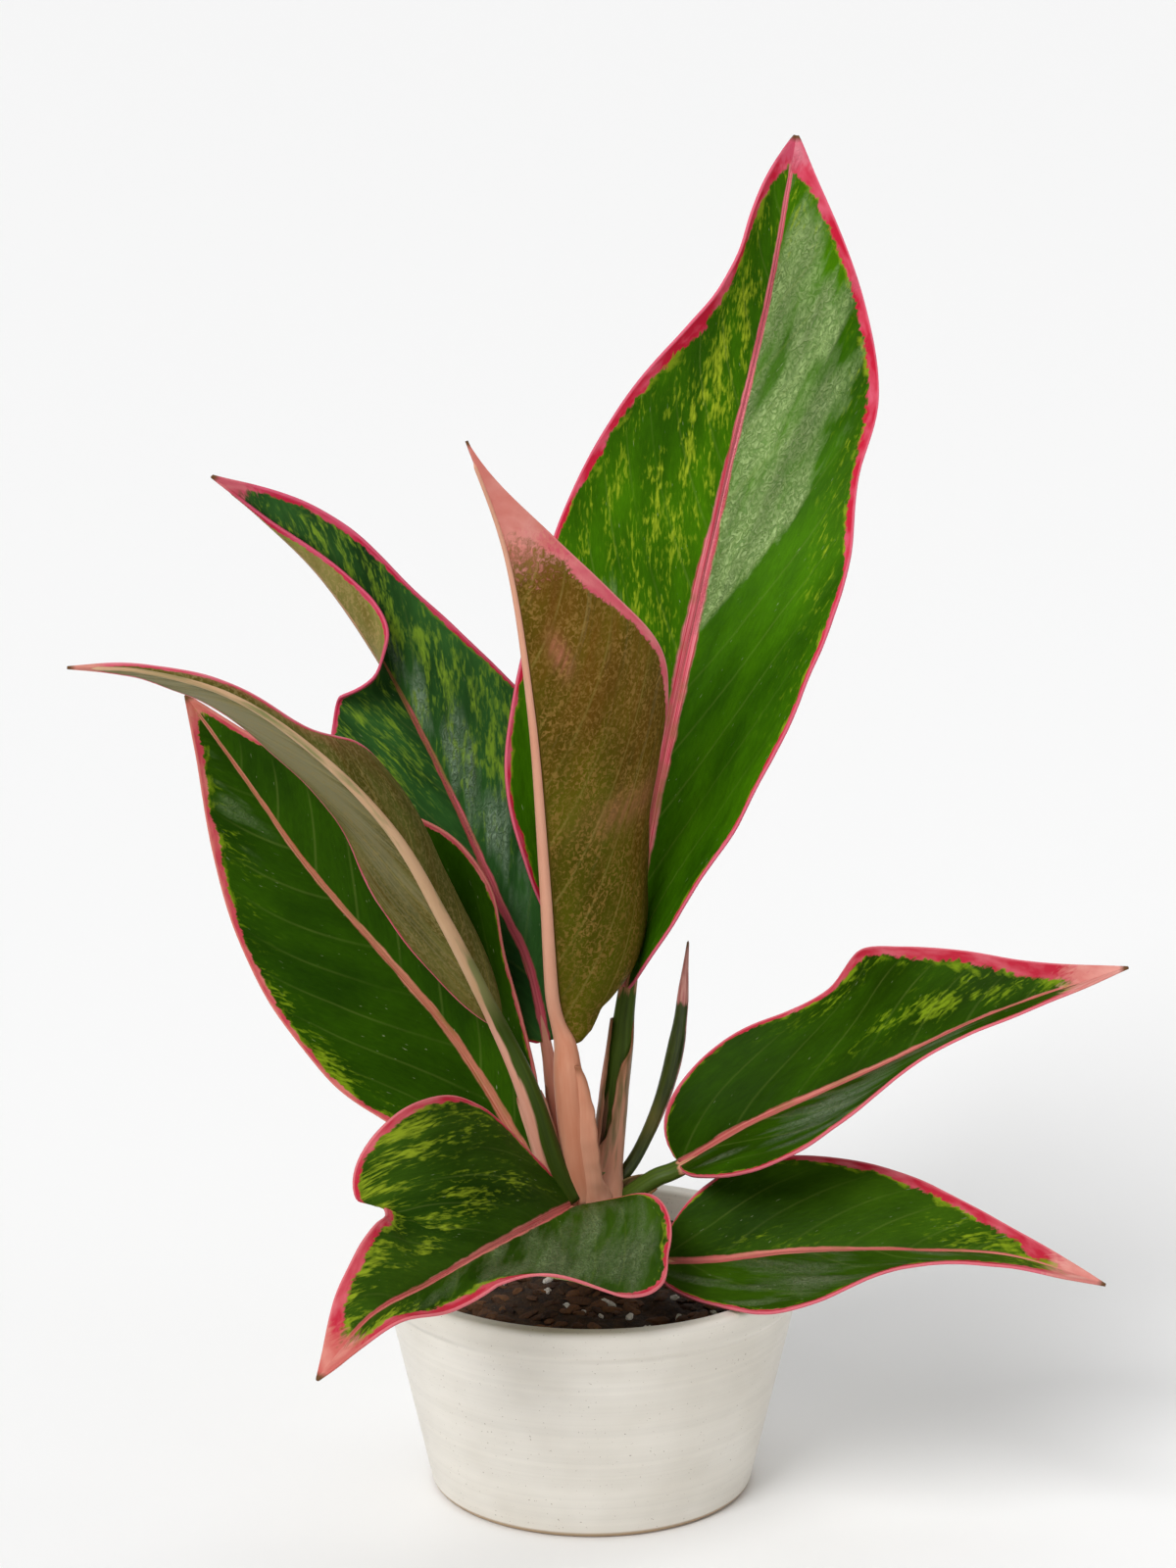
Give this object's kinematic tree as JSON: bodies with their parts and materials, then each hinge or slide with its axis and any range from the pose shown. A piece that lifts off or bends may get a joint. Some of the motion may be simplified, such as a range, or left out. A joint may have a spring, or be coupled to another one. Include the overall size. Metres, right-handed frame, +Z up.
{
  "type": "potted chinese evergreen",
  "caption": "Young chinese evergreen with broad pointed green leaves edged in crimson, upright on a short cane in a plain low round pot.",
  "frame": {"origin": "centre of the pot's flat bottom", "axes": "+Z up along the pot's axis; -Y looks out of the plant's best side, towards the viewer; +X to the viewer's right"},
  "size_m": [0.259, 0.1704, 0.3466],
  "materials": {
    "pot": "matte",
    "potting_mix": "matte",
    "stem": "satin",
    "leaf": "satin"
  },
  "bodies": {
    "root": {"pot": "pot", "potting_mix": "potting_mix", "stem": "stem", "leaf_centre": "leaf", "leaf_tall": "leaf", "leaf_curled": "leaf", "leaf_arching": "leaf", "leaf_broad": "leaf", "leaf_front": "leaf", "leaf_upper": "leaf", "leaf_lower": "leaf", "leaf_rolled": "leaf"}
  },
  "joints": []
}
